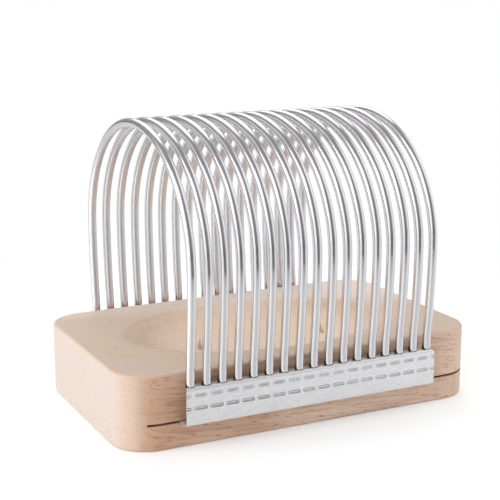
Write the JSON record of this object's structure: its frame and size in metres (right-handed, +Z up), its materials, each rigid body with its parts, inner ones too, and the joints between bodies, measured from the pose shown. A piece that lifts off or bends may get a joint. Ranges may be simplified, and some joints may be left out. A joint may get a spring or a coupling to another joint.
{
  "type": "toast slicer",
  "caption": "Bread slicing guide: a wooden block with an oval dish and two loaf pins, and a removable cage of arched steel wires in two folded strips, which slides off along kerfs in the block.",
  "frame": {"origin": "middle of the block's underside", "axes": "+Z up; +X along the block, towards the open ends of the kerfs; -Y is the front, the side the picture shows"},
  "size_m": [0.22, 0.1546, 0.1659],
  "materials": {
    "wood": "sanded pale hardwood, lightly oiled",
    "pin": "bright stainless wire, ground to a point",
    "strip": "satin stainless sheet, folded and crimped",
    "wire": "polished stainless wire"
  },
  "bodies": {
    "base": {"wood_base": "wood", "loaf_pin_left": "pin", "loaf_pin_right": "pin"},
    "cage": {"front_strip": "strip", "rear_strip": "strip", "hoop_01": "wire", "hoop_02": "wire", "hoop_03": "wire", "hoop_04": "wire", "hoop_05": "wire", "hoop_06": "wire", "hoop_07": "wire", "hoop_08": "wire", "hoop_09": "wire", "hoop_10": "wire", "hoop_11": "wire", "hoop_12": "wire", "hoop_13": "wire", "hoop_14": "wire", "hoop_15": "wire", "hoop_16": "wire", "hoop_17": "wire"}
  },
  "joints": [
    {"name": "cage_slide", "type": "slide", "parent": "base", "child": "cage", "axis": [1, 0, 0], "range_m": [-0.0115, 0.18]}
  ]
}
